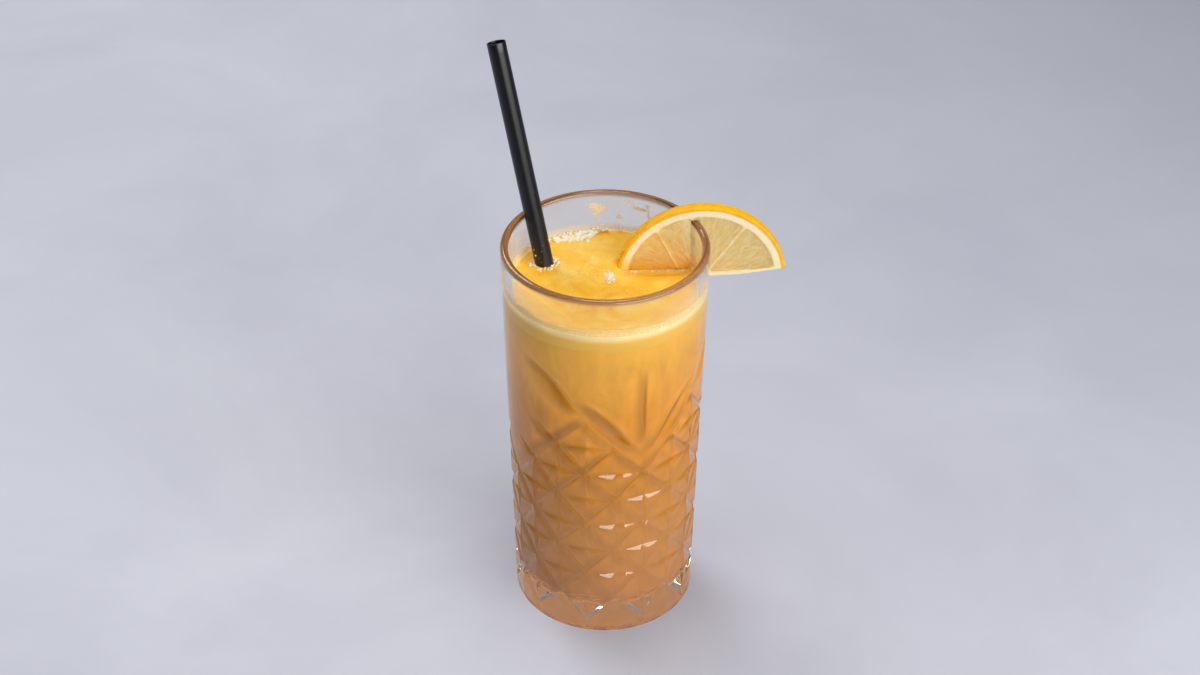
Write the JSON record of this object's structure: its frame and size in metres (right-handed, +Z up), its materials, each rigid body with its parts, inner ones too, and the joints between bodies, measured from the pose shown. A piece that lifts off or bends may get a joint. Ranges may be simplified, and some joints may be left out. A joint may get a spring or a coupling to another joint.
{
  "type": "glass of smoothie",
  "caption": "Tall cut-glass tumbler filled with a frothy fruit smoothie, with a straight drinking straw and a lemon half-wheel slit onto the rim.",
  "frame": {"origin": "centre of the glass's flat foot, on the surface it stands on", "axes": "+Z up along the glass's axis; the picture was taken from the -Y side, with +X to the right"},
  "size_m": [0.0976, 0.0678, 0.1971],
  "materials": {
    "glass": "clear, polished, with a cut pattern",
    "smoothie": "opaque orange fruit drink, browner towards the bottom",
    "froth": "yellow-orange foam of fine bubbles",
    "straw": "black, satin",
    "lemon_slice": "moist lemon flesh, cream pith and orange-yellow peel"
  },
  "bodies": {
    "root": {"glass": "glass", "smoothie": "smoothie", "froth": "froth", "straw": "straw", "lemon_slice": "lemon_slice"}
  },
  "joints": []
}
